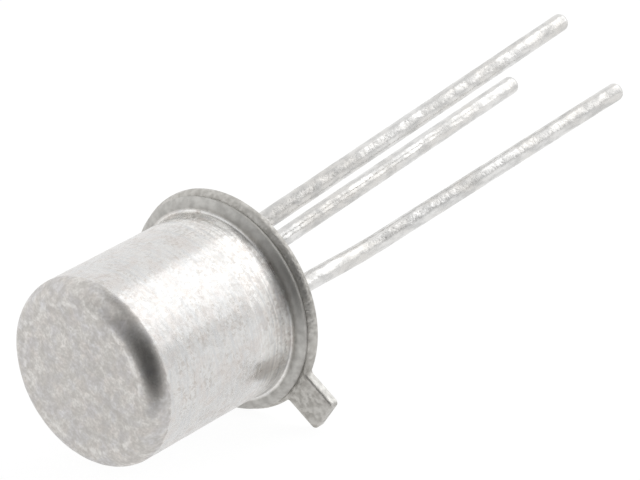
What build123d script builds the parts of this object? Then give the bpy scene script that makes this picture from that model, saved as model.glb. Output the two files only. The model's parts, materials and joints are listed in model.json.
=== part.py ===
"""A triac in a small round metal can with three wire leads, lying on its side as it comes to rest.

Millimetres, +Z up from the surface that it lies on. The can's axis runs along X, its closed end towards -X.
"""
import os
from math import acos, asin, atan2, cos, degrees, hypot, radians, sin

from build123d import *

# Cap, drawn from nickel-plated steel sheet
cap_diameter = 4.70
cap_wall = 0.20
package_height = 5.08  # from the seating plane to the closed end
cap_shoulder_radius = 0.475  # outside, round the closed end
cap_root_radius = 0.19  # outside, where the wall meets the flange
cap_mouth_radius = 0.12  # inside, where the wall meets the flange
cap_flange_width = 0.355  # beyond the wall
cap_flange_thickness = 0.18
cap_flange_bevel = 0.04

# Weld between the two flanges: a ridge under the cap's flange, which leaves a thin groove outside it
weld_ridge_height = 0.04
weld_ridge_width = 0.16
weld_ridge_inset = 0.165  # from the edge of the cap's flange

# Header, stamped and drawn from one sheet: a cup with a flange and the index tab
header_sheet = 0.25
header_flange_margin = 0.09  # beyond the edge of the cap's flange
header_height = 1.10  # from the seating plane to the floor that the chip sits on
header_bevel = 0.04  # rolled edge of the flange and tab, on the cap's side
stem_clearance = 0.12  # between the cup and the inside of the cap
stem_bevel = 0.12
tab_width = 1.00
tab_length = 0.955  # beyond the edge of the flange
tab_corner_radius = 0.12
tab_root_radius = 0.10

# Glass in the cup
glass_recess = 0.06  # from the seating plane up to the glass
glass_ring = 0.265  # round each insulated lead, in its hole in the cup's floor

# Leads, tinned wire on one circle
lead_diameter = 0.47
pin_circle_diameter = 2.54
lead_length = 12.80  # from the seating plane to the tips
lead_bend_radius = 7.0
lead_tip_bevel = 0.06
post_height = 0.35  # of the insulated leads above the cup's floor
post_bevel = 0.04

# Angle of each lead round the circle, from the tab, how far from the seating plane it is slightly bent,
# and how far its tip leans (towards the tab, across it)
lead_angles = {"lead_mt1": 45, "lead_gate": 135, "lead_mt2": 225}
lead_straights = {"lead_mt1": 3.60, "lead_gate": 0.70, "lead_mt2": 2.00}
lead_leans = {"lead_mt1": (0.02, 1.48), "lead_gate": (-0.48, 1.72), "lead_mt2": (-0.595, 0.78)}
insulated_leads = ("lead_mt1", "lead_gate")

# Chip and the solder that holds it
die_side = 1.05
die_thickness = 0.22
die_edge_bevel = 0.05
die_attach_thickness = 0.05
die_attach_margin = 0.08
die_attach_corner_radius = 0.15

# Bond wires, each with a flattened foot on the chip and on its post
wire_diameter = 0.125
wire_peak_height = 0.40  # above the chip
wire_bend_radius = 0.18  # at the peak
foot_length = 0.30
foot_width = 0.20
foot_thickness = 0.06
bond_pads = {"bond_wire_mt1": (0.10, 0.02), "bond_wire_gate": (-0.34, 0.34)}
wire_leads = {"bond_wire_mt1": "lead_mt1", "bond_wire_gate": "lead_gate"}

# Sizes that follow from those above
cap_radius = cap_diameter / 2
cap_bore_radius = cap_radius - cap_wall
cap_flange_radius = cap_radius + cap_flange_width
weld_outer_radius = cap_flange_radius - weld_ridge_inset
weld_inner_radius = weld_outer_radius - weld_ridge_width
cap_underside = header_sheet + weld_ridge_height
cap_flange_top = cap_underside + cap_flange_thickness
header_flange_radius = cap_flange_radius + header_flange_margin
tab_reach = header_flange_radius + tab_length
stem_radius = cap_bore_radius - stem_clearance
cup_bore_radius = stem_radius - header_sheet
cup_floor = header_height - header_sheet
lead_radius = lead_diameter / 2
lead_hole_radius = lead_radius + glass_ring
pin_circle_radius = pin_circle_diameter / 2
post_top = header_height + post_height
die_base = header_height + die_attach_thickness
die_top = die_base + die_thickness

# Tilt at rest: the closed end drops until its shoulder and the header's edge both touch the surface
shoulder_drop = cap_radius - cap_shoulder_radius
edge_drop = header_flange_radius
shoulder_ahead = package_height - cap_shoulder_radius
edge_ahead = header_sheet - header_bevel
run = shoulder_ahead - edge_ahead
fall = edge_drop - shoulder_drop
tilt = atan2(fall, run) - asin(cap_shoulder_radius / hypot(run, fall))
axis_height = edge_ahead * sin(tilt) + edge_drop * cos(tilt)

# Roll at rest: the can turns on its edge until a corner of the tab touches too
corner_out = tab_reach - tab_corner_radius
corner_across = tab_width / 2 - tab_corner_radius
corner_drop = edge_drop - tab_corner_radius
roll = atan2(corner_across, corner_out) + acos(corner_drop / hypot(corner_out, corner_across))

# Directions at rest, and the ends of the part along X and across it
axis_direction = Vector(-cos(tilt), 0, -sin(tilt))
tab_direction = Vector(sin(tilt) * cos(roll), -sin(roll), -cos(tilt) * cos(roll))
lying = Plane(origin=(0, 0, 0), x_dir=tab_direction, z_dir=axis_direction)


def lead_place(name):
    """Where a lead stands on the pin circle, in the seating plane."""
    angle = radians(lead_angles[name])
    return Vector(pin_circle_radius * cos(angle), pin_circle_radius * sin(angle))


def lead_tip(name):
    """Centre of a lead's free end."""
    lean = Vector(*lead_leans[name])
    return lead_place(name) + lean + Vector(0, 0, -lead_length)


closed_end = -(shoulder_ahead * cos(tilt) + shoulder_drop * sin(tilt) + cap_shoulder_radius)
lead_end = max(lying.from_local_coords(lead_tip(name)).X for name in lead_angles)
flange_side = header_flange_radius
tab_side = -(corner_out * sin(roll) + corner_across * cos(roll) + tab_corner_radius)
middle = Vector((closed_end + lead_end) / 2, (flange_side + tab_side) / 2, -axis_height)

# Seating plane of the part: x towards the tab, z along the axis towards the closed end
seat = Plane(origin=-middle, x_dir=tab_direction, z_dir=axis_direction)
device_axis = Axis(seat.origin, seat.z_dir)
match = 1e-4  # how near a radius or a height has to be to be the one that is meant


def rings(part, radius, height):
    """Circular edges of a part that have this radius and lie this high above the seating plane."""

    def is_meant(edge):
        centre = seat.to_local_coords(edge.arc_center)
        return abs(edge.radius - radius) < match and abs(centre.Z - height) < match

    return part.edges().filter_by(GeomType.CIRCLE).filter_by(is_meant)


def is_tab_root(corner):
    """Whether a corner of the header's outline is where a side of the tab leaves the round flange."""
    on_rim = abs(hypot(corner.X, corner.Y) - header_flange_radius) < match
    return on_rim and abs(abs(corner.Y) - tab_width / 2) < match


def upright(start, end):
    """Plane that holds the device's axis direction and two places, x from the first to the second."""
    along = seat.from_local_coords(end) - seat.from_local_coords(start)
    return Plane(origin=seat.from_local_coords(start), x_dir=along, z_dir=along.cross(seat.z_dir))


os.makedirs("parts", exist_ok=True)

# Cap
with BuildPart() as cap:
    with BuildSketch(seat.offset(cap_underside)):
        Circle(cap_radius)
    extrude(amount=package_height - cap_underside)
    fillet(rings(cap, cap_radius, package_height), cap_shoulder_radius)
    offset(amount=-cap_wall, openings=cap.faces().sort_by(device_axis)[0])
    with BuildSketch(seat.offset(cap_underside)):
        Circle(cap_flange_radius)
        Circle(cap_bore_radius, mode=Mode.SUBTRACT)
    extrude(amount=cap_flange_thickness)
    with BuildSketch(seat.offset(header_sheet)):
        Circle(weld_outer_radius)
        Circle(weld_inner_radius, mode=Mode.SUBTRACT)
    extrude(amount=weld_ridge_height)
    fillet(rings(cap, cap_radius, cap_flange_top), cap_root_radius)
    fillet(rings(cap, cap_bore_radius, cap_underside), cap_mouth_radius)
    chamfer(rings(cap, cap_flange_radius, cap_flange_top), cap_flange_bevel)
cap.part.label = "cap"
export_step(cap.part, "parts/cap.step")

# Header
with BuildPart() as header:
    with BuildSketch(seat) as outline:
        Circle(header_flange_radius)
        with Locations((tab_reach / 2, 0)):
            Rectangle(tab_reach, tab_width)
        fillet(outline.vertices().group_by(Axis.X)[-1], tab_corner_radius)
        fillet(outline.vertices().filter_by(is_tab_root), tab_root_radius)
    extrude(amount=header_sheet)
    rolled_edges = header.faces().sort_by(device_axis)[-1].edges()
    chamfer(rolled_edges, header_bevel)
    with BuildSketch(seat.offset(header_sheet)):
        Circle(stem_radius)
    extrude(amount=header_height - header_sheet)
    chamfer(rings(header, stem_radius, header_height), stem_bevel)
    with BuildSketch(seat):
        Circle(cup_bore_radius)
    extrude(amount=cup_floor, mode=Mode.SUBTRACT)
    with BuildSketch(seat.offset(cup_floor)):
        for name in insulated_leads:
            with Locations(lead_place(name)):
                Circle(lead_hole_radius)
    extrude(amount=header_sheet, mode=Mode.SUBTRACT)
header.part.label = "header"
export_step(header.part, "parts/header.step")

# Glass seal, poured round the leads
with BuildPart() as glass_seal:
    with BuildSketch(seat.offset(glass_recess)):
        Circle(cup_bore_radius)
    extrude(amount=cup_floor - glass_recess)
    with BuildSketch(seat.offset(cup_floor)):
        for name in insulated_leads:
            with Locations(lead_place(name)):
                Circle(lead_hole_radius)
    extrude(amount=header_sheet)
    with BuildSketch(seat):
        for name in lead_angles:
            with Locations(lead_place(name)):
                Circle(lead_radius)
    extrude(amount=header_height, mode=Mode.SUBTRACT)
glass_seal.part.label = "glass_seal"
export_step(glass_seal.part, "parts/glass_seal.step")

# Leads: two end as posts inside the can, the third is butt-welded under the cup's floor
for name in lead_angles:
    top = post_top if name in insulated_leads else cup_floor
    place = lead_place(name)
    with BuildPart() as lead:
        with BuildLine() as route:
            FilletPolyline(
                seat.from_local_coords(place + Vector(0, 0, top)),
                seat.from_local_coords(place + Vector(0, 0, -lead_straights[name])),
                seat.from_local_coords(lead_tip(name)),
                radius=lead_bend_radius,
            )
        with BuildSketch(Plane(origin=route.line @ 0, z_dir=route.line % 0)):
            Circle(lead_radius)
        sweep()
        chamfer(lead.edges().sort_by(device_axis)[0], lead_tip_bevel)
        if name in insulated_leads:
            chamfer(rings(lead, lead_radius, post_top), post_bevel)
    lead.part.label = name
    export_step(lead.part, f"parts/{name}.step")

# Chip, with the edges of its top bevelled down to the blocking junction
with BuildPart() as die:
    with BuildSketch(seat.offset(die_base)):
        Rectangle(die_side, die_side)
    extrude(amount=die_thickness)
    chamfer(die.faces().sort_by(device_axis)[-1].edges(), die_edge_bevel)
die.part.label = "die"
export_step(die.part, "parts/die.step")

# Solder under the chip
with BuildPart() as die_attach:
    with BuildSketch(seat.offset(header_height)) as pool:
        Rectangle(die_side + 2 * die_attach_margin, die_side + 2 * die_attach_margin)
        fillet(pool.vertices(), die_attach_corner_radius)
    extrude(amount=die_attach_thickness)
die_attach.part.label = "die_attach"
export_step(die_attach.part, "parts/die_attach.step")

# Bond wires: a foot on the chip, a loop, and a foot on the post
wire_radius = wire_diameter / 2
for name, lead_name in wire_leads.items():
    pad = Vector(*bond_pads[name])
    post = lead_place(lead_name)
    span = (post - pad).length
    face = upright(pad, post)
    with BuildPart() as wire:
        with BuildLine(face) as loop:
            FilletPolyline(
                (0, die_top + wire_radius),
                (span / 2, die_top + wire_peak_height),
                (span, post_top + wire_radius),
                radius=wire_bend_radius,
            )
        with BuildSketch(Plane(origin=loop.line @ 0, z_dir=loop.line % 0)):
            Circle(wire_radius)
        sweep()
        for spot, level in ((pad, die_top), (post, post_top)):
            foot = Plane(origin=seat.from_local_coords(spot), x_dir=face.x_dir, z_dir=seat.z_dir)
            with BuildSketch(foot.offset(level)):
                SlotOverall(foot_length, foot_width)
            extrude(amount=foot_thickness)
    wire.part.label = name
    export_step(wire.part, f"parts/{name}.step")

print(f"tilt {degrees(tilt):.2f} deg, roll {degrees(roll):.2f} deg, axis {axis_height:.3f} mm up")
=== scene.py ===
"""A triac in a small round metal can with three tinned leads, lying on a pale floor."""
import json
from math import asin, atan2, cos, degrees, pi, radians, sin, sqrt, tan

import bpy
import numpy as np
from mathutils import Matrix, Vector


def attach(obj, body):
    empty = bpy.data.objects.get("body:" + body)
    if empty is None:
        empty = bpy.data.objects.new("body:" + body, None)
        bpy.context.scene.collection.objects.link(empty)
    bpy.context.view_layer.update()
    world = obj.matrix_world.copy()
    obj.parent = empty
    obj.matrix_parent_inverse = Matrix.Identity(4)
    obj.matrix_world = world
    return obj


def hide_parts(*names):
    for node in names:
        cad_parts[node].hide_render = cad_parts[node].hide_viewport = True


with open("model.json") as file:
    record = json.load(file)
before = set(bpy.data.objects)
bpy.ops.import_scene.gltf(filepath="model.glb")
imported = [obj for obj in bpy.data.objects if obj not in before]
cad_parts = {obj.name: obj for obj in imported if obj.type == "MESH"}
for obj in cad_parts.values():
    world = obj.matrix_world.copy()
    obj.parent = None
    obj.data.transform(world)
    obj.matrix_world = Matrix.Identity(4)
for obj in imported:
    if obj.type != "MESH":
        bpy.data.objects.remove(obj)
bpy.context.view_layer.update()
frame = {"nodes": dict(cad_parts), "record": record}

# Camera
# It looks down on the closed end of the can from the side that the index tab points to, through a long lens.
# The place, the angles and the focal length are those at which the photograph's outline fits the part.
camera_place = Vector((-64.582, -57.396, 29.992)) / 1000
view_azimuth = radians(48.152)  # 0 looks along +Y and turns towards +X
view_elevation = radians(17.163)
view_roll = radians(3.189)  # the picture's upright leans to its right
focal_pixels = 3700
picture_width = 640

view_way = Vector((
    sin(view_azimuth) * cos(view_elevation),
    cos(view_azimuth) * cos(view_elevation),
    -sin(view_elevation),
))
level_right = view_way.cross(Vector((0, 0, 1))).normalized()
level_up = level_right.cross(view_way)
picture_up = level_up * cos(view_roll) + level_right * sin(view_roll)
picture_right = view_way.cross(picture_up)
camera_axes = Matrix((picture_right, picture_up, -view_way)).transposed().to_4x4()

camera = bpy.data.objects.new("camera", bpy.data.cameras.new("camera"))
bpy.context.scene.collection.objects.link(camera)
camera.matrix_world = Matrix.Translation(camera_place) @ camera_axes
camera.data.sensor_width = 36
camera.data.lens = focal_pixels / picture_width * camera.data.sensor_width
camera.data.clip_start = 0.005
camera.data.clip_end = 5
bpy.context.scene.camera = camera
bpy.context.scene.view_settings.view_transform = "Standard"

# White surroundings
# A light tent of thin white cloth. All that the camera and the metal see of it is white, and it lights the
# floor and the part evenly.
world_light = 0.62  # what the tent gives to matt surfaces


def add_node(tree, kind, **settings):
    """Adds a shader node and sets its own properties."""
    made = tree.nodes.new(kind)
    for name, value in settings.items():
        setattr(made, name, value)
    return made


def set_inputs(made, **values):
    """Sets a node's sockets by name, with spaces written as underscores."""
    for name, value in values.items():
        made.inputs[name.replace("_", " ")].default_value = value
    return made


def number_math(tree, operation, *values):
    """Does one operation on sockets and numbers."""
    made = add_node(tree, "ShaderNodeMath", operation=operation)
    for socket, value in zip(made.inputs, values):
        if isinstance(value, (int, float)):
            socket.default_value = value
        else:
            tree.links.new(value, socket)
    return made.outputs[0]


def ramp(tree, value, low, high, start, end):
    """Maps a value from the range low to high onto start to end, and holds it outside."""
    made = add_node(tree, "ShaderNodeMapRange")
    set_inputs(made, From_Min=low, From_Max=high, To_Min=start, To_Max=end)
    tree.links.new(value, made.inputs["Value"])
    return made.outputs["Result"]


def background_seen(tree):
    """1 for a ray that sees the white background: one from the camera, off metal, or through glass."""
    ray = add_node(tree, "ShaderNodeLightPath").outputs
    seen_or_mirrored = number_math(tree, "MAXIMUM", ray["Is Camera Ray"], ray["Is Glossy Ray"])
    return number_math(tree, "MAXIMUM", seen_or_mirrored, ray["Is Transmission Ray"])


world = bpy.data.worlds.new("tent")
world.use_nodes = True
bpy.context.scene.world = world
sky = world.node_tree
sky.nodes.clear()
tent = set_inputs(add_node(sky, "ShaderNodeBackground"), Color=(1, 1, 1, 1))
sky.links.new(ramp(sky, background_seen(sky), 0.0, 1.0, world_light, 1.0), tent.inputs["Strength"])
sky.links.new(tent.outputs["Background"], add_node(sky, "ShaderNodeOutputWorld").inputs["Surface"])

# Floor
# A white sheet. Most of its white is its own, as in an overexposed background, and the rest is lit and
# takes the shadow. In the metal, whose picture isn't overexposed, the lit share and the shadow are deeper.
floor_size = 1.2
floor_own_white = 0.93
floor_lit_white = 0.13
floor_own_in_metal = 0.76
floor_lit_in_metal = 0.32
floor_for_light = 0.80  # its colour to light that falls on it and goes on to other things


def empty_material(name):
    """A node material with nothing in it but its output."""
    material = bpy.data.materials.new(name)
    material.use_nodes = True
    material.node_tree.nodes.clear()
    return material, material.node_tree, add_node(material.node_tree, "ShaderNodeOutputMaterial")


def studio_sheet(name, corners, faces=((0, 1, 2, 3),)):
    """A sheet round the part, from its corners in metres and its faces' corner numbers."""
    mesh = bpy.data.meshes.new(name)
    mesh.from_pydata(corners, [], faces)
    sheet = bpy.data.objects.new(name, mesh)
    bpy.context.scene.collection.objects.link(sheet)
    return sheet


half = floor_size / 2
floor = studio_sheet("floor", [(-half, -half, 0), (half, -half, 0), (half, half, 0), (-half, half, 0)])
paper, tree, output = empty_material("white_paper")
in_metal = add_node(tree, "ShaderNodeLightPath").outputs["Is Glossy Ray"]
lit = add_node(tree, "ShaderNodeBsdfDiffuse")
own = set_inputs(add_node(tree, "ShaderNodeEmission"), Color=(1, 1, 1, 1))
tree.links.new(ramp(tree, in_metal, 0.0, 1.0, floor_lit_white, floor_lit_in_metal), lit.inputs["Color"])
tree.links.new(ramp(tree, in_metal, 0.0, 1.0, floor_own_white, floor_own_in_metal), own.inputs["Strength"])
bounce = set_inputs(add_node(tree, "ShaderNodeBsdfDiffuse"), Color=(floor_for_light,) * 3 + (1,))
seen_white = add_node(tree, "ShaderNodeAddShader")
tree.links.new(lit.outputs["BSDF"], seen_white.inputs[0])
tree.links.new(own.outputs["Emission"], seen_white.inputs[1])
choice = add_node(tree, "ShaderNodeMixShader")
tree.links.new(background_seen(tree), choice.inputs["Fac"])
tree.links.new(bounce.outputs["BSDF"], choice.inputs[1])
tree.links.new(seen_white.outputs["Shader"], choice.inputs[2])
tree.links.new(choice.outputs["Shader"], output.inputs["Surface"])
floor.data.materials.append(paper)

# Lamp screen
# One soft flat screen, up and to the right of the camera, which gives the white band along the can.
# It fades out towards its edges.
can_centre = Vector((-6.3, 0.15, 2.5))
screen_way = Vector((0.718, -0.356, 0.589)).normalized()
screen_distance = 120
screen_upright = Vector((0.995, 0.0, 0.1))
screen_width = 159
screen_height = 98
screen_strength = 1.62
screen_fade = 0.28  # share of half the width and height over which it fades


def coordinates(tree, place):
    """A place's X, Y and Z, by name."""
    split = add_node(tree, "ShaderNodeSeparateXYZ")
    tree.links.new(place, split.inputs["Vector"])
    return split.outputs


def faded(tree, value, start, end):
    """1 up to start, 0 from end on, and smooth between them."""
    made = add_node(tree, "ShaderNodeMapRange", interpolation_type="SMOOTHSTEP")
    set_inputs(made, From_Min=start, From_Max=end, To_Min=1.0, To_Max=0.0)
    tree.links.new(value, made.inputs["Value"])
    return made.outputs["Result"]


def glow_where_covered(tree, output, cover, strength):
    """A surface that glows where its cover is 1 and is clear where it is 0."""
    glow = set_inputs(add_node(tree, "ShaderNodeEmission"), Color=(1, 1, 1, 1), Strength=strength)
    clear = add_node(tree, "ShaderNodeBsdfTransparent")
    mixed = add_node(tree, "ShaderNodeMixShader")
    tree.links.new(cover, mixed.inputs["Fac"])
    tree.links.new(clear.outputs["BSDF"], mixed.inputs[1])
    tree.links.new(glow.outputs["Emission"], mixed.inputs[2])
    tree.links.new(mixed.outputs["Shader"], output.inputs["Surface"])


screen_middle = (can_centre + screen_way * screen_distance) / 1000
screen_across = screen_upright.cross(-screen_way).normalized() * (screen_width / 2000)
screen_along = (-screen_way).cross(screen_across).normalized() * (screen_height / 2000)
screen = studio_sheet("lamp_screen", [
    screen_middle - screen_across - screen_along,
    screen_middle + screen_across - screen_along,
    screen_middle + screen_across + screen_along,
    screen_middle - screen_across + screen_along,
])
screen.data.uv_layers.new(name="screen").data.foreach_set("uv", (-1, -1, 1, -1, 1, 1, -1, 1))
screen.visible_camera = False
screen.visible_shadow = False
shining, tree, output = empty_material("lamp_screen")
on_screen = coordinates(tree, add_node(tree, "ShaderNodeUVMap", uv_map="screen").outputs["UV"])
off_middle = [number_math(tree, "ABSOLUTE", on_screen[axis]) for axis in "XY"]
fades = [faded(tree, distance, 1.0 - screen_fade, 1.0) for distance in off_middle]
glow_where_covered(tree, output, number_math(tree, "MULTIPLY", *fades), screen_strength)
screen.data.materials.append(shining)

# Cloths
# Dark cloth round the camera, and before it on the floor, gives the dark bands on the shoulder and the
# flange. A grey cloth hangs overhead. All three show only in reflections.
cloth_distance = 80
opening_reach = (1.15, 0.60)
opening_thick = 0.19
opening_spread = 98
opening_level = 0.065
overhead_reach = (0.34, 0.26)
overhead_thick = 0.35
overhead_spread = 60
overhead_level = 0.40
front_height = 0.05
front_near = 6
front_level = 0.10

# The tent's opening is lower than the camera, and wide along the way that the can's axis takes in the
# picture.
opening_below = radians(12)
opening_tilt = radians(28.6)
opening_across = picture_up * cos(opening_tilt) - picture_right * sin(opening_tilt)
opening_along = picture_right * cos(opening_tilt) + picture_up * sin(opening_tilt)
opening_way = -view_way * cos(opening_below) - opening_across * sin(opening_below)
opening_axes = (opening_along, opening_way.cross(opening_along), opening_way)
overhead_way = Vector((-0.05, -0.20, 0.98)).normalized()
overhead_across = overhead_way.cross(Vector((1, 0, 0))).normalized()
overhead_axes = (overhead_across.cross(overhead_way), overhead_across, overhead_way)


def vector_math(tree, operation, first, second=None):
    """Does one operation on a vector and, where it takes two, on another or on three numbers."""
    made = add_node(tree, "ShaderNodeVectorMath", operation=operation)
    tree.links.new(first, made.inputs[0])
    if isinstance(second, (tuple, Vector)):
        made.inputs[1].default_value = second
    elif second is not None:
        tree.links.new(second, made.inputs[1])
    return made.outputs["Value" if operation == "LENGTH" else "Vector"]


def cloth(name, corners, faces, axes, reach, thick_until, level):
    """A cloth that is thick round one direction from the can, and thins out from it.

    axes are two directions across and the one that the cloth is thick round. How far a way w lies from that
    one is w / (1 + z) along each of the two across, the half angle's tangent, and reach gives the two at
    which the cloth is gone. Up to the share thick_until of them it is thick. level is how bright it is.
    """
    sheet = studio_sheet(name, corners.tolist(), faces)
    sheet.visible_camera = False
    sheet.visible_diffuse = False
    sheet.visible_shadow = False
    material, tree, output = empty_material(name)
    place = add_node(tree, "ShaderNodeTexCoord").outputs["Object"]
    turned_way = add_node(tree, "ShaderNodeMapping", vector_type="TEXTURE")
    turned_way.inputs["Rotation"].default_value = Matrix(axes).transposed().to_euler("XYZ")
    from_can = vector_math(tree, "SUBTRACT", place, can_centre / 1000)
    tree.links.new(vector_math(tree, "NORMALIZE", from_can), turned_way.inputs["Vector"])
    way = turned_way.outputs["Vector"]
    squeezed = vector_math(tree, "MULTIPLY", way, (1 / reach[0], 1 / reach[1], 0))
    ahead = number_math(tree, "ADD", coordinates(tree, way)["Z"], 1.0)
    share = number_math(tree, "DIVIDE", vector_math(tree, "LENGTH", squeezed), ahead)
    glow_where_covered(tree, output, faded(tree, share, thick_until, 1.0), level)
    sheet.data.materials.append(material)


def ring_faces(count, turns):
    """Corner numbers of rings of points, those of the next points round, and the faces between rings."""
    index = np.arange(count * turns).reshape(count, turns)
    after = np.roll(index, -1, axis=1)
    faces = np.stack((index[:-1], index[1:], after[1:], after[:-1]), axis=-1).reshape(-1, 4).tolist()
    return index, after, faces


def dome(axes, widest, rings=24, turns=64):
    """Part of a sphere round the can's middle, from the last of three directions out to an angle in degrees.

    At an angle a out and b round, it lies towards cos a of the last, sin a cos b of the first and
    sin a sin b of the second.
    """
    out = np.linspace(0.02, radians(widest), rings)[:, None]
    turn = np.arange(turns) * 2 * pi / turns
    ways = (
        np.cos(out)[..., None] * np.array(axes[2])
        + (np.sin(out) * np.cos(turn))[..., None] * np.array(axes[0])
        + (np.sin(out) * np.sin(turn))[..., None] * np.array(axes[1])
    )
    return (np.array(can_centre) + cloth_distance * ways.reshape(-1, 3)) / 1000, ring_faces(rings, turns)[2]


to_camera = Vector((-view_way.x, -view_way.y, 0)).normalized()
aside = Vector((-to_camera.y, to_camera.x, 0))
front_corners = [
    Vector((can_centre.x, can_centre.y, front_height)) + to_camera * out + aside * across
    for out, across in (
        (front_near, -cloth_distance),
        (front_near, cloth_distance),
        (cloth_distance, cloth_distance),
        (cloth_distance, -cloth_distance),
    )
]
cloth(
    "dark_cloth_round_camera", *dome(opening_axes, opening_spread),
    opening_axes, opening_reach, opening_thick, opening_level,
)
cloth(
    "grey_cloth_overhead", *dome(overhead_axes, overhead_spread),
    overhead_axes, overhead_reach, overhead_thick, overhead_level,
)
cloth(
    "dark_cloth_in_front", np.array(front_corners) / 1000, [(0, 1, 2, 3)],
    opening_axes, opening_reach, opening_thick, front_level,
)

# Cap
# Drawn from steel sheet to a cup with a rounded shoulder, its mouth turned out to a flange, and nickel
# plated all over. A ridge under the flange is welded to the header, and leaves a thin groove between them.
mounts = {mount["name"]: mount for mount in frame["record"]["mounts"]}
can_body = mounts["can_body"]
board_face = np.array(mounts["seating_plane"]["pos_m"])
end_way = np.array(can_body["axis"])
can_middle = np.array(can_body["pos_m"])
seat = can_middle - end_way * ((can_middle - board_face) @ end_way)
side_way = (board_face - seat) / np.linalg.norm(board_face - seat)
tab_way = np.cross(side_way, end_way)
device_axes = np.array((tab_way, side_way, end_way))


def placed(points):
    """Metres in the frame, from millimetres towards the tab, across it, and up to the closed end."""
    return seat + points @ device_axes / 1000


def measured(node):
    """A node's corners in the device's millimetres."""
    corners = frame["nodes"][node].data.vertices
    flat = np.empty(len(corners) * 3)
    corners.foreach_get("co", flat)
    return (flat.reshape(-1, 3) - seat) @ device_axes.T * 1000


def straight(start, end, steps):
    """Evenly spaced points of a profile from start up to but not including end."""
    share = np.arange(steps)[:, None] / steps
    return np.array(start) * (1 - share) + np.array(end) * share


def bend(centre, radius, first, last, steps):
    """Points of a profile on an arc; angles are degrees from outwards, towards the closed end."""
    turn = np.radians(np.linspace(first, last, steps + 1))[:-1]
    return np.array(centre) + radius * np.column_stack((np.cos(turn), np.sin(turn)))


def unevenness(points, length, seed, waves=28):
    """Smooth random relief, mostly between -1 and 1.

    It is a sum of sine waves in random directions, each with a random start and about the same length.
    """
    draw = np.random.default_rng(seed)
    ways = draw.normal(size=(waves, 3))
    ways /= np.linalg.norm(ways, axis=1)[:, None]
    lengths = length * draw.uniform(0.7, 1.6, waves)
    starts = draw.uniform(0, 2 * pi, waves)
    return np.sin(points @ (ways / lengths[:, None]).T * 2 * pi + starts).sum(axis=-1) / sqrt(waves)


def ring_piece(name, rings, first_tip, last_tip):
    """A smooth closed mesh over rings of points, rings x turns x 3, each joined to the next.

    Triangles to a tip close it at both ends.
    """
    count, turns = rings.shape[:2]
    index, after, faces = ring_faces(count, turns)
    corners = placed(np.vstack((rings.reshape(-1, 3), first_tip, last_tip)))
    first = np.full(turns, count * turns)
    faces += np.column_stack((first, index[0], after[0])).tolist()
    faces += np.column_stack((index[-1], first + 1, after[-1])).tolist()
    mesh = bpy.data.meshes.new(name)
    mesh.from_pydata(corners.tolist(), [], faces)
    mesh.polygons.foreach_set("use_smooth", np.ones(len(mesh.polygons), bool))
    piece = bpy.data.objects.new(name, mesh)
    bpy.context.scene.collection.objects.link(piece)
    return piece


def turned(profile, turns):
    """Rings of points from a profile of radius and height, turned round the device's axis."""
    turn = np.arange(turns) * 2 * pi / turns
    radius, height = profile[:, :1], profile[:, 1:]
    return np.stack((radius * np.cos(turn), radius * np.sin(turn), height + 0 * turn), axis=-1)


cap_corners = measured("cap")
cap_end = cap_corners[:, 2].max()
ridge_foot = cap_corners[:, 2].min()
flange_edge = np.hypot(cap_corners[:, 0], cap_corners[:, 1]).max()
wall_radius = can_body["dims"]["r_mm"]
cap_sheet = 0.20
shoulder_radius = 0.475
root_radius = 0.045
root_step = 0.028
root_step_from = 0.72
root_lean = 12
mouth_radius = 0.12
flange_sheet = 0.18
flange_rounding = 0.25
flange_edge_lean = 26
edge_rounding = 0.012
ridge_height = 0.04
ridge_width = 0.30
ridge_inset = 0.014
centre_ring = 0.04  # radius of the smallest rings, which triangles close to a point
bore_radius = wall_radius - cap_sheet
flange_top = ridge_foot + ridge_height + flange_sheet
disc_radius = wall_radius - shoulder_radius
ridge_outer = flange_edge - ridge_inset
ridge_inner = ridge_outer - ridge_width
inner_corner = shoulder_radius - cap_sheet
shoulder_foot = cap_end - shoulder_radius
disc_steps = 36
rim_steps = 6
shoulder_steps = 26
wall_steps = 78
flare_steps = 18
cap_turns = 360

# A faint rim stands round the flat disc of the closed end, where the punch's edge pressed the sheet.
disc_sunk = 0.004
rim_width = 0.07
disc_height = cap_end - disc_sunk
rim_share = np.arange(rim_steps) / rim_steps
disc_rim = np.column_stack((
    disc_radius - rim_width * (1 - rim_share),
    cap_end - disc_sunk * (1 - np.sin(rim_share * pi / 2) ** 2),
))

# Above the root the wall flares a little, where the die held it, and reflects the lamp past the flange.
root_wall = wall_radius + root_step
root_centre = (root_wall + root_radius, flange_top + root_radius)
flare_share = np.arange(flare_steps) / flare_steps
drawn_flare = np.column_stack((
    wall_radius + root_step * (1 - np.cos(flare_share * pi / 2)),
    root_step_from + (root_centre[1] - root_step_from) * flare_share,
))

# The flange's upper side is pressed round by the welding ring, and leans less than upright where it ends.
edge_turn = radians(flange_edge_lean)
flange_centre = (flange_edge - flange_rounding * cos(edge_turn), flange_top - flange_rounding)
flange_foot = flange_centre[1] + flange_rounding * sin(edge_turn)
edge_centre = (flange_edge - edge_rounding * cos(edge_turn), flange_foot - edge_rounding * sin(edge_turn))
flange_under = edge_centre[1] - edge_rounding
mouth_centre = (bore_radius + mouth_radius, flange_under + mouth_radius)

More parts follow.
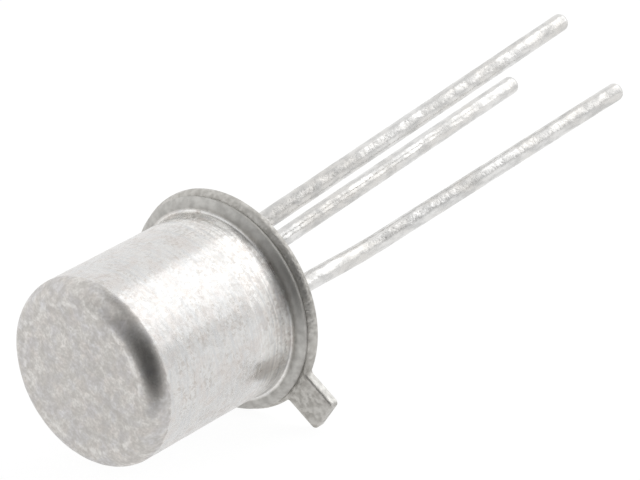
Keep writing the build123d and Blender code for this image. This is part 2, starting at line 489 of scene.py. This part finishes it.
cap_profile = np.vstack((
    straight((centre_ring, disc_height), (disc_radius - rim_width, disc_height), disc_steps),
    disc_rim,
    bend((disc_radius, shoulder_foot), shoulder_radius, 90, 0, shoulder_steps),
    straight((wall_radius, shoulder_foot), (wall_radius, root_step_from), wall_steps),
    drawn_flare,
    bend(root_centre, root_radius, 180 + root_lean, 270, 6),
    straight((root_centre[0], flange_top), (flange_centre[0], flange_top), 2),
    bend(flange_centre, flange_rounding, 90, flange_edge_lean, 10),
    bend(edge_centre, edge_rounding, flange_edge_lean, -90, 4),
    straight((edge_centre[0], flange_under), (ridge_outer, flange_under), 2),
    straight((ridge_outer, flange_under), (ridge_outer, ridge_foot), 2),
    straight((ridge_outer, ridge_foot), (ridge_inner, ridge_foot), 2),
    straight((ridge_inner, ridge_foot), (ridge_inner, flange_under), 2),
    straight((ridge_inner, flange_under), (mouth_centre[0], flange_under), 2),
    bend(mouth_centre, mouth_radius, 270, 180, 5),
    straight((bore_radius, mouth_centre[1]), (bore_radius, shoulder_foot), 10),
    bend((disc_radius, shoulder_foot), inner_corner, 0, 90, 6),
    straight((disc_radius, cap_end - cap_sheet), (centre_ring, cap_end - cap_sheet), 8),
))
cap_rings = turned(cap_profile, cap_turns)

# Drawing leaves the wall and the closed end slightly uneven, with long waves and fine ones. All of it lies
# inwards, so the can keeps its size: each point moves against the way out of the wall, shoulder or disc.
wall_relief = 0.006
wall_wave = 1.5
fine_relief = 0.0022
fine_wave = 0.32
longer_along = (1, 1, 0.6)  # stretches relief along the device's axis
relief_fade = 0.3  # above the flare, over which the relief begins
outside = cap_rings[:disc_steps + rim_steps + shoulder_steps + wall_steps]  # moving it moves the rings
sunk = (
    wall_relief * (1 + unevenness(outside * longer_along, wall_wave, seed=3)).clip(0, 2) / 2
    + fine_relief * (1 + unevenness(outside, fine_wave, seed=4)).clip(0, 2) / 2
)
radial = outside * (1, 1, 0)
lean = np.clip((outside[..., 2:] - shoulder_foot) / shoulder_radius, 0, 1)
level_share = np.sqrt(1 - lean**2) / np.linalg.norm(radial, axis=-1, keepdims=True)
outwards = radial * level_share + np.array((0, 0, 1)) * lean
fade = np.clip((outside[..., 2] - root_step_from) / relief_fade, 0, 1)
outside -= outwards * (sunk * fade)[..., None]

cap = ring_piece("can", cap_rings, (0, 0, cap_rings[0, :, 2].mean()), (0, 0, cap_end - cap_sheet))
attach(cap, "root")
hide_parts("cap")


def device_millimetres(tree):
    """Object coordinates in the device's millimetres, so that a pattern follows the can and the header."""
    turn = Matrix(device_axes.tolist())
    place = add_node(tree, "ShaderNodeMapping", vector_type="POINT")
    place.inputs["Scale"].default_value = (1000, 1000, 1000)
    place.inputs["Rotation"].default_value = turn.to_euler("XYZ")
    place.inputs["Location"].default_value = -(turn @ Vector(seat * 1000))
    tree.links.new(add_node(tree, "ShaderNodeTexCoord").outputs["Object"], place.inputs["Vector"])
    return place.outputs["Vector"]


def piece_material(name, metallic):
    """A material with one surface, and its places in the device's millimetres."""
    material, tree, output = empty_material(name)
    surface = set_inputs(add_node(tree, "ShaderNodeBsdfPrincipled"), Metallic=metallic)
    tree.links.new(surface.outputs["BSDF"], output.inputs["Surface"])
    return material, tree, surface, device_millimetres(tree)


def effect_group(name, inputs, outputs):
    """An empty node group: inputs are its sockets with their defaults, a tuple for a vector."""
    group = bpy.data.node_groups.new(name, "ShaderNodeTree")
    for socket, default in inputs.items():
        kind = "NodeSocketVector" if isinstance(default, tuple) else "NodeSocketFloat"
        made = group.interface.new_socket(socket, in_out="INPUT", socket_type=kind)
        made.default_value = default
    for socket in outputs:
        group.interface.new_socket(socket, in_out="OUTPUT", socket_type="NodeSocketFloat")
    return group, add_node(group, "NodeGroupInput").outputs, add_node(group, "NodeGroupOutput").inputs


def noise_effect(name, detail, roughness):
    """A group that gives a soft mask of cloudy patches.

    Size is their breadth in millimetres, Stretch squeezes them along each axis, and Contrast is how sharply
    they part: noise up to half of it gives 0, noise above 1 less that half gives 1, smooth between them.
    """
    sockets = {"Place": (0.0, 0.0, 0.0), "Stretch": (1.0, 1.0, 1.0), "Size": 1.0, "Contrast": 0.5}
    group, given, result = effect_group(name, sockets, ("Mask",))
    noise = set_inputs(add_node(group, "ShaderNodeTexNoise"), Detail=detail, Roughness=roughness)
    stretched = vector_math(group, "MULTIPLY", given["Place"], given["Stretch"])
    group.links.new(stretched, noise.inputs["Vector"])
    group.links.new(number_math(group, "DIVIDE", 1.0, given["Size"]), noise.inputs["Scale"])
    low = number_math(group, "MULTIPLY", given["Contrast"], 0.5)
    spread = add_node(group, "ShaderNodeMapRange", interpolation_type="SMOOTHSTEP")
    group.links.new(noise.outputs["Fac"], spread.inputs["Value"])
    group.links.new(low, spread.inputs["From Min"])
    group.links.new(number_math(group, "SUBTRACT", 1.0, low), spread.inputs["From Max"])
    group.links.new(spread.outputs["Result"], result["Mask"])
    return group


patches_group = noise_effect("patches", 3.0, 0.55)
grain_group = noise_effect("grain", 1.5, 0.5)


def effect(tree, group, place, **values):
    """Places an effect group in a material and gives its mask."""
    made = add_node(tree, "ShaderNodeGroup", node_tree=group)
    tree.links.new(place, made.inputs["Place"])
    set_inputs(made, **values)
    return made.outputs["Mask"]


def blended(tree, share, first, second):
    """Mixes two colours, each a socket or three numbers, by a share."""
    made = add_node(tree, "ShaderNodeMix", data_type="RGBA")
    tree.links.new(share, made.inputs[0])
    for socket, colour in ((made.inputs[6], first), (made.inputs[7], second)):
        if isinstance(colour, tuple):
            socket.default_value = colour + (1,)
        else:
            tree.links.new(colour, socket)
    return made.outputs[2]


def tinted(tree, colour, *layers):
    """Lays tints over a colour, one after another.

    Each has a mask, the two values of it at which the tint begins and is full, its share when full, and its
    colour.
    """
    for mask, begins, full, share, tint in layers:
        colour = blended(tree, ramp(tree, mask, begins, full, 0.0, share), colour, tint)
    return colour


def summed(tree, *heights, base=0.0):
    """Adds up sockets, each times its own share, onto a base."""
    for socket, share in heights:
        base = number_math(tree, "MULTIPLY_ADD", socket, share, base)
    return base


def multiplied(tree, first, *others):
    """Multiplies sockets."""
    for other in others:
        first = number_math(tree, "MULTIPLY", first, other)
    return first


def from_the_axis(tree, place):
    """How far a place is from the device's axis, and how high along it."""
    radius = vector_math(tree, "LENGTH", vector_math(tree, "MULTIPLY", place, (1, 1, 0)))
    return radius, coordinates(tree, place)["Z"]


def bumped(tree, height, surface, depth_mm):
    """Feeds a height between 0 and 1 to a surface's normal, as relief of that depth."""
    bump = add_node(tree, "ShaderNodeBump")
    set_inputs(bump, Strength=1.0, Distance=depth_mm / 1000)
    tree.links.new(height, bump.inputs["Height"])
    tree.links.new(bump.outputs["Normal"], surface.inputs["Normal"])


def round_the_wall(tree, place, radius):
    """Places unrolled from a wall round the device's axis: along the wall, up it, and 0."""
    at = coordinates(tree, place)
    unrolled = add_node(tree, "ShaderNodeCombineXYZ")
    angle = number_math(tree, "ARCTAN2", at["Y"], at["X"])
    tree.links.new(number_math(tree, "MULTIPLY", angle, radius), unrolled.inputs["X"])
    tree.links.new(at["Z"], unrolled.inputs["Y"])
    return unrolled.outputs["Vector"]


nickel_wall = (0.745, 0.74, 0.73)
nickel_root_highlight = (0.95, 0.94, 0.915)
nickel_worn = (0.66, 0.62, 0.58)
nickel_streak = (0.66, 0.665, 0.67)
nickel_end = (0.83, 0.81, 0.78)
nickel_warm = (0.67, 0.60, 0.56)
nickel_cool = (0.60, 0.60, 0.645)
nickel_dull = (0.52, 0.50, 0.475)
nickel_flange = (0.60, 0.59, 0.565)
nickel_rubbed_and_highlight = (0.86, 0.845, 0.82)
nickel_pit = (0.42, 0.41, 0.39)
nickel_speck = (0.50, 0.465, 0.43)
nickel_roughness = 0.16
nickel_relief = 0.0018

nickel, tree, plate, place = piece_material("satin_nickel", 1.0)
unrolled = round_the_wall(tree, place, wall_radius)
radius, height = from_the_axis(tree, place)
clouds = effect(tree, patches_group, place, Size=0.9, Contrast=0.62)
warm_spots = effect(tree, patches_group, place, Size=0.42, Contrast=0.7, Stretch=(1.0, 1.3, 1.0))
cool_spots = effect(tree, patches_group, place, Size=0.55, Contrast=0.74, Stretch=(1.3, 1.0, 1.2))
mottle = effect(tree, patches_group, place, Size=0.20, Contrast=0.66)
grain = effect(tree, grain_group, place, Size=0.11, Contrast=0.7)
fine = effect(tree, grain_group, place, Size=0.055, Contrast=0.6)
speckle = effect(tree, grain_group, place, Size=0.085, Contrast=0.76)
streaks = effect(tree, patches_group, unrolled, Size=0.09, Contrast=0.6, Stretch=(0.10, 1.0, 1.0))
ring_marks = effect(tree, grain_group, unrolled, Size=0.08, Contrast=0.74, Stretch=(0.05, 1.0, 1.0))

# The end and its shoulder are duller than the wall, with a clear border where the shoulder begins. The
# disc's rim is painted brighter in places, partly rubbed wear and partly a painted highlight.
uneven_height = summed(tree, (height, 1.0), (mottle, 0.03))
on_end = ramp(tree, uneven_height, shoulder_foot + 0.01, shoulder_foot + 0.06, 0.0, 1.0)
# Painted highlight mixed with wear: a brighter ring round the disc's rim, in places.
rim_rubbed_and_highlight = multiplied(
    tree,
    ramp(tree, radius, disc_radius - 0.13, disc_radius - 0.07, 0.0, 1.0),
    ramp(tree, radius, disc_radius - 0.05, disc_radius + 0.03, 1.0, 0.0),
    ramp(tree, mottle, 0.3, 0.7, 0.5, 0.0),
)
end_colour = tinted(
    tree,
    nickel_end,
    (clouds, 0.0, 1.0, 0.25, nickel_dull),
    (warm_spots, 0.3, 1.0, 0.42, nickel_warm),
    (cool_spots, 0.3, 1.0, 0.5, nickel_cool),
    (mottle, 0.0, 1.0, 0.56, nickel_dull),
    (grain, 0.0, 1.0, 0.36, nickel_dull),
    (fine, 0.0, 1.0, 0.42, nickel_dull),
    (rim_rubbed_and_highlight, 0.0, 1.0, 1.0, nickel_rubbed_and_highlight),
)

# The wall near the root is painted brighter, a painted highlight, and the drawing ring left fine marks round
# it.
specks = multiplied(
    tree,
    ramp(tree, speckle, 0.6, 0.95, 0.0, 0.5),
    ramp(tree, cool_spots, 0.3, 0.8, 0.0, 1.0),
)
drawn = multiplied(
    tree,
    ramp(tree, ring_marks, 0.3, 0.8, 0.0, 0.26),
    ramp(tree, height, 0.9, 2.2, 1.0, 0.0),
)
wall_colour = tinted(
    tree,
    nickel_wall,
    # Painted highlight: the wall is brighter towards the root.
    (height, 1.7, 0.95, 1.0, nickel_root_highlight),
    (grain, 0.45, 1.0, 0.28, nickel_worn),
    (fine, 0.0, 1.0, 0.2, nickel_worn),
    (specks, 0.0, 1.0, 1.0, nickel_speck),
    (streaks, 0.3, 1.0, 0.8, nickel_streak),
    (drawn, 0.0, 1.0, 1.0, nickel_dull),
    (warm_spots, 0.4, 1.0, 0.3, nickel_warm),
)

# The flange is dull all over, with small pits.
on_flange = ramp(tree, radius, root_centre[0] - 0.01, root_centre[0] + 0.05, 0.0, 1.0)
flange_colour = tinted(tree, nickel_flange, (mottle, 0.0, 1.0, 0.45, nickel_pit))
plate_colour = blended(tree, on_flange, blended(tree, on_end, wall_colour, end_colour), flange_colour)
tree.links.new(plate_colour, plate.inputs["Base Color"])

# Beside the tab, the wall near the root is duller, so what it mirrors of the flange and the tab is blurred.
by_tab = multiplied(
    tree,
    ramp(tree, coordinates(tree, place)["X"], 0.7, 1.5, 0.0, 1.0),
    ramp(tree, height, root_step_from + 0.2, root_step_from + 0.9, 1.0, 0.0),
    ramp(tree, radius, root_wall, root_centre[0], 1.0, 0.0),
)
roughness = summed(
    tree,
    (on_end, 0.13),
    (on_flange, 0.27),
    (by_tab, 0.26),
    (mottle, 0.08),
    (grain, 0.06),
    (clouds, 0.05),
    base=nickel_roughness,
)
tree.links.new(roughness, plate.inputs["Roughness"])
bumped(tree, summed(tree, (grain, 0.35), (mottle, 0.6), (streaks, 0.05)), plate, nickel_relief)
cap.data.materials.append(nickel)

# Header
# Stamped from one sheet: a cup that the glass fills, a flange a little wider than the cap's, and the index
# tab. Its edges are rolled over on the cap's side, where the punch entered, and sharp on the other.
header_corners = measured("header")
tab_reach = header_corners[:, 0].max()
edge_spare = 0.001  # keeps the round edge inside the solid's box
header_edge = -header_corners[:, 0].min() - edge_spare
header_top = header_corners[:, 2].max()
header_sheet = ridge_foot
tab_half = 0.50
tab_corner = 0.12
tab_root = 0.10
stem_radius = 2.03
stem_bevel = 0.12
cup_radius = stem_radius - header_sheet
cup_floor = header_top - header_sheet
rolled_edge = 0.18
rolled_tab = 0.045
edge_blend = 0.12  # length over which the round edge's rounding goes over into the tab's
sharp_edge = 0.015
lead_hole = 0.50
drill_spare = 0.05  # past the sheet's two sides
drill_turns = 48
lead_bends = {"mt1_pin": -3.60, "gate_pin": -0.70, "mt2_pin": -2.00}  # heights at which the leads bend
tip_steps = 8
corner_steps = 8
side_steps = 14
root_steps = 8
edge_steps = 150


def pin_line(mount):
    """Direction and middle of a pin's straight part, in the device's axes and millimetres."""
    return device_axes @ np.array(mount["axis"]), device_axes @ (np.array(mount["pos_m"]) - seat) * 1000


def lead_top(mount):
    """Where a lead stands round the device's axis: on its pin's line at the height where it bends."""
    way, middle = pin_line(mount)
    bend_height = lead_bends[mount["name"]]
    return (middle - way * ((middle[2] - bend_height) / way[2])) * (1, 1, 0)


def header_outline():
    """Half the flange's outline, from the middle of the tab's tip to the far side, and its outward normals.

    Lines and arcs in turn: tip, corner, side of the tab, the hollow at its root, and the round edge.
    """
    root_x = sqrt((header_edge + tab_root) ** 2 - (tab_half + tab_root) ** 2)
    root_turn = degrees(atan2(tab_half + tab_root, root_x))
    corner_x = tab_reach - tab_corner
    corner_y = tab_half - tab_corner
    places = np.vstack((
        straight((tab_reach, 0), (tab_reach, corner_y), tip_steps),
        bend((corner_x, corner_y), tab_corner, 0, 90, corner_steps),
        straight((corner_x, tab_half), (root_x, tab_half), side_steps),
        bend((root_x, tab_half + tab_root), tab_root, -90, root_turn - 180, root_steps),
        bend((0, 0), header_edge, root_turn, 180, edge_steps),
    ))
    normals = np.vstack((
        np.tile((1.0, 0.0), (tip_steps, 1)),
        bend((0, 0), 1, 0, 90, corner_steps),
        np.tile((0.0, 1.0), (side_steps, 1)),
        -bend((0, 0), 1, -90, root_turn - 180, root_steps),
        bend((0, 0), 1, root_turn, 180, edge_steps),
    ))
    return places, normals


half_outline, half_normals = header_outline()
mirrored = np.array((1, -1))
outline = np.vstack((half_outline, (-header_edge, 0.0), half_outline[:0:-1] * mirrored))
outline_normals = np.vstack((half_normals, (-1.0, 0.0), half_normals[:0:-1] * mirrored))
outline_turn = np.arctan2(outline[:, 1], outline[:, 0])


def round_ring(radius, height):
    """A circle of points that keep the directions of the header's outline."""
    turn = np.column_stack((np.cos(outline_turn), np.sin(outline_turn)))
    return np.column_stack((radius * turn, np.full(len(outline), height)))


def rolled(rounding, side_height, first, last, steps):
    """Rings round the outline over its rounded edge.

    At an angle t from level, each point lies rounding * (1 - cos t) inside the outline and
    rounding * sin t above side_height.
    """
    rings = []
    for turn in np.radians(np.linspace(first, last, steps + 1)):
        inset = (rounding * (1 - cos(turn)))[:, None]
        height = side_height + rounding * sin(turn)
        rings.append(np.column_stack((outline - outline_normals * inset, height)))
    return rings


def between(first, last, steps):
    """Rings evenly spaced from one to another, without the two themselves."""
    return [first + (last - first) * step / (steps + 1) for step in range(1, steps + 1)]


tab_foot = sqrt(header_edge**2 - tab_half**2) - edge_blend
on_tab = np.clip((outline[:, 0] - tab_foot) / edge_blend, 0, 1)
edge_roundings = rolled_edge + (rolled_tab - rolled_edge) * on_tab
sharp_roundings = np.full(len(outline), sharp_edge)
top_edge = rolled(edge_roundings, header_sheet - edge_roundings, 90, 0, 8)
low_edge = rolled(sharp_roundings, sharp_roundings, 0, -90, 2)
stem_foot = round_ring(stem_radius, header_sheet)
cup_mouth = round_ring(cup_radius, 0.0)
header_rings = [
    *(round_ring(radius, header_top) for radius in np.linspace(0.2, stem_radius - stem_bevel, 8)),
    round_ring(stem_radius, header_top - stem_bevel),
    stem_foot,
    *between(stem_foot, top_edge[0], 30),
    *top_edge,
    *between(top_edge[-1], low_edge[0], 3),
    *low_edge,
    *between(low_edge[-1], cup_mouth, 20),
    cup_mouth,
    *(round_ring(cup_radius, height) for height in np.linspace(0.1, cup_floor, 6)),
    *(round_ring(radius, cup_floor) for radius in np.linspace(cup_radius - 0.2, 0.2, 6)),
]
header = ring_piece("header_plate", np.array(header_rings), (0, 0, header_top), (0, 0, cup_floor))

# Two holes in the cup's floor, wider than the leads that the glass insulates in them.
drill_ends = np.array([(lead_hole, header_top + drill_spare), (lead_hole, cup_floor - drill_spare)])
for pin in ("mt1_pin", "gate_pin"):
    hole = turned(drill_ends, drill_turns) + lead_top(mounts[pin])
    drill = ring_piece("drill", hole, hole[0].mean(axis=0), hole[1].mean(axis=0))
    cut = header.modifiers.new("hole", "BOOLEAN")
    cut.operation = "DIFFERENCE"
    cut.object = drill
    pierced = bpy.data.meshes.new_from_object(header.evaluated_get(bpy.context.evaluated_depsgraph_get()))
    header.modifiers.clear()
    header.data = pierced
    bpy.data.objects.remove(drill)
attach(header, "root")
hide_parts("header")

header_grey = (0.65, 0.635, 0.605)
header_dull = (0.48, 0.465, 0.435)
header_sheared_highlight = (0.76, 0.75, 0.72)
header_relief = 0.008
stamped, tree, plate, place = piece_material("stamped_plate", 1.0)
clouds = effect(tree, patches_group, place, Size=0.5, Contrast=0.6)
mottle = effect(tree, grain_group, place, Size=0.14, Contrast=0.6)
speckle = effect(tree, grain_group, place, Size=0.05, Contrast=0.7)

# The tab's sheared sides are painted brighter than the sheet's two sides, partly burnished by the punch and
# partly a painted highlight.
radius, height = from_the_axis(tree, place)
from_middle = number_math(tree, "ABSOLUTE", coordinates(tree, place)["Y"])
sheared_and_highlight = multiplied(
    tree,
    ramp(tree, radius, header_edge + 0.02, header_edge + 0.10, 0.0, 1.0),
    ramp(tree, from_middle, tab_half - 0.03, tab_half - 0.01, 0.0, 1.0),
    ramp(tree, height, 0.0, 0.02, 0.0, 1.0),
    ramp(tree, height, header_sheet - 0.08, header_sheet - 0.04, 1.0, 0.0),
)
colour = tinted(
    tree,
    header_grey,
    (mottle, 0.0, 1.0, 0.7, header_dull),
    (clouds, 0.0, 1.0, 0.4, header_dull),
    # Painted highlight, partly burnish: the tab's sheared sides are brighter.
    (sheared_and_highlight, 0.0, 1.0, 1.0, header_sheared_highlight),
)
tree.links.new(colour, plate.inputs["Base Color"])
tree.links.new(ramp(tree, mottle, 0.0, 1.0, 0.42, 0.58), plate.inputs["Roughness"])
bumped(tree, summed(tree, (speckle, 0.4), (mottle, 0.6)), plate, header_relief)
header.data.materials.append(stamped)

# Leads
# Wire cut to length and dipped in solder, which runs into shallow dimples and rounds the cut ends.
# Two pass through the glass and end as posts inside the can, and the third is welded under the cup.
post_height = 0.35
post_top = header_top + post_height
bend_radius = 7.0
tip_bevel = 0.06
tip_rounding = 0.13
post_rounding = 0.04
dimple_depth = 0.0025
dimple_length = 0.34
wave_depth = 0.0015
wave_length = 0.9
dip_fade = 0.15  # below the seating plane, over which the solder's relief begins
lead_turns = 56
step_along = 0.03


def lead_route(mount, top):
    """Centre line of a lead in the device's millimetres, its directions, and its bend's axis.

    Straight from its top along the can's axis to the bend, round an arc, and straight on to its tip.
    """
    way, middle = pin_line(mount)
    corner = lead_top(mount) + (0, 0, lead_bends[mount["name"]])
    tip = middle + way * (mount["dims"]["length_mm"] / 2 + tip_bevel)
    down = np.array((0.0, 0.0, -1.0))
    upright = np.cross(down, way)
    upright /= np.linalg.norm(upright)
    turn = asin(np.linalg.norm(np.cross(down, way)))
    reach = bend_radius * tan(turn / 2)
    arc_start = corner - down * reach
    arc_end = corner + way * reach
    towards = np.cross(upright, down)
    first = np.arange(top, arc_start[2], -step_along)[:, None]
    angles = np.arange(0, turn, step_along / bend_radius)[:, None]
    last = np.arange(0, np.linalg.norm(tip - arc_end), step_along)[:, None]
    centres = np.vstack((
        corner * (1, 1, 0) - down * first,
        arc_start + bend_radius * (down * np.sin(angles) + towards * (1 - np.cos(angles))),
        arc_end + way * last,
        tip,
    ))
    ways = np.vstack((
        np.tile(down, (len(first), 1)),
        down * np.cos(angles) + towards * np.sin(angles),
        np.tile(way, (len(last) + 1, 1)),
    ))
    return centres, ways, upright


def lead_piece(name, mount, top, seed):
    """A wire along its route: a circle at each place, sunk where the solder dimples, and rounded ends."""
    centres, ways, upright = lead_route(mount, top)
    radius = mount["dims"]["r_mm"]
    run = np.concatenate(((0.0,), np.linalg.norm(np.diff(centres, axis=0), axis=1).cumsum()))
    size = np.full(len(run), radius)
    for from_end, rounding in ((run, post_rounding), (run[-1] - run, tip_rounding)):
        size -= rounding * (1 - np.sqrt(1 - np.clip(1 - from_end / rounding, 0, 1) ** 2))
    turn = np.arange(lead_turns) * 2 * pi / lead_turns
    sideways = np.cross(ways, upright)
    around = sideways[:, None] * np.cos(turn)[:, None] + upright * np.sin(turn)[:, None]
    surface = centres[:, None] + around * radius
    dimples = dimple_depth * unevenness(surface * longer_along, dimple_length, seed).clip(0, 1.6)
    waves = wave_depth * (1 + unevenness(surface, wave_length, seed + 1)).clip(0, 2)
    dipped = np.clip(-centres[:, 2] / dip_fade, 0, 1)[:, None]
    rings = centres[:, None] + around * (size[:, None] - (dimples + waves) * dipped)[..., None]
    return ring_piece(name, rings[:, ::-1], centres[0], centres[-1])


solder_bright = (0.78, 0.775, 0.765)
solder_warm = (0.67, 0.65, 0.62)
solder_grey = (0.54, 0.54, 0.535)
solder_relief = 0.006
solder_coat, tree, coat, place = piece_material("solder_coat", 1.0)
tarnish = effect(tree, patches_group, place, Size=0.7, Contrast=0.66, Stretch=(1.0, 1.0, 0.5))
dimple = effect(tree, patches_group, place, Size=0.17, Contrast=0.66, Stretch=(1.0, 1.0, 0.45))
dots = effect(tree, grain_group, place, Size=0.09, Contrast=0.7)
colour = tinted(
    tree,
    solder_bright,
    (tarnish, 0.0, 1.0, 0.8, solder_warm),
    (dimple, 0.2, 1.0, 0.6, solder_grey),
)
tree.links.new(colour, coat.inputs["Base Color"])
tree.links.new(summed(tree, (tarnish, 0.16), (dots, 0.10), (dimple, 0.20)), coat.inputs["Roughness"])
bumped(tree, summed(tree, (dimple, 0.8), (dots, 0.2)), coat, solder_relief)

for pin, node, top, name, seed in (
    ("mt1_pin", "lead_mt1", post_top, "tinned_lead_mt1", 20),
    ("gate_pin", "lead_gate", post_top, "tinned_lead_gate", 22),
    ("mt2_pin", "lead_mt2", cup_floor, "tinned_lead_mt2", 24),
):
    lead = lead_piece(name, mounts[pin], top, seed)
    lead.data.materials.append(solder_coat)
    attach(lead, "root")
    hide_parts(node)

# What the can holds
# Dark glass fills the cup and insulates two leads. The chip is soldered to the cup, with a bonded wire to
# each post. A finish has two colours, a share of metal, least and most roughness, and a size of patches.
inner_finishes = {
    "glass_seal": ((0.020, 0.030, 0.032), (0.035, 0.045, 0.045), 0.0, 0.05, 0.12, 0.5),
    "die": ((0.16, 0.17, 0.20), (0.22, 0.22, 0.24), 1.0, 0.08, 0.2, 0.3),
    "die_attach": ((0.45, 0.45, 0.44), (0.60, 0.60, 0.60), 1.0, 0.3, 0.5, 0.12),
    "bond_wire_mt1": ((0.80, 0.80, 0.81), (0.88, 0.88, 0.88), 1.0, 0.15, 0.3, 0.05),
    "bond_wire_gate": ((0.80, 0.80, 0.81), (0.88, 0.88, 0.88), 1.0, 0.15, 0.3, 0.05),
}
for node, (first, second, metallic, smooth, rough, size) in inner_finishes.items():
    finish, tree, surface, place = piece_material(node + "_finish", metallic)
    mask = effect(tree, patches_group, place, Size=size, Contrast=0.6)
    tree.links.new(blended(tree, mask, first, second), surface.inputs["Base Color"])
    tree.links.new(ramp(tree, mask, 0.0, 1.0, smooth, rough), surface.inputs["Roughness"])
    slots = frame["nodes"][node].data.materials
    slots.clear()
    slots.append(finish)

# Glass menisci
# Collars of the seal's own dark glass, one round each lead where it leaves the seal. The molten glass
# climbed the lead a little and set there, smooth and hollow.
glass_low = measured("glass_seal")[:, 2].min()
collar_width = 0.15
collar_height = 0.09
collar_gap = 0.005  # round the lead
collar_depth = 0.04  # in the glass
lip_width = 0.02  # into the lead
lip_height = 0.01
collar_inner = mounts["mt1_pin"]["dims"]["r_mm"] + collar_gap
collar_outer = collar_inner + collar_width
collar_turns = 48
collar_turn = np.radians(np.linspace(0, 90, 9))
collar_profile = np.vstack((
    (collar_outer, glass_low + collar_depth),
    np.column_stack((
        collar_outer - collar_width * np.sin(collar_turn),
        glass_low - collar_height * (1 - np.cos(collar_turn)),
    )),
    (collar_inner - lip_width, glass_low - collar_height - lip_height),
))
for pin, name in (("mt1_pin", "meniscus_mt1"), ("gate_pin", "meniscus_gate"), ("mt2_pin", "meniscus_mt2")):
    collar = turned(collar_profile, collar_turns) + lead_top(mounts[pin])
    meniscus = ring_piece(name, collar, collar[0].mean(axis=0), collar[-1].mean(axis=0))
    meniscus.data.materials.append(bpy.data.materials["glass_seal_finish"])
    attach(meniscus, "root")
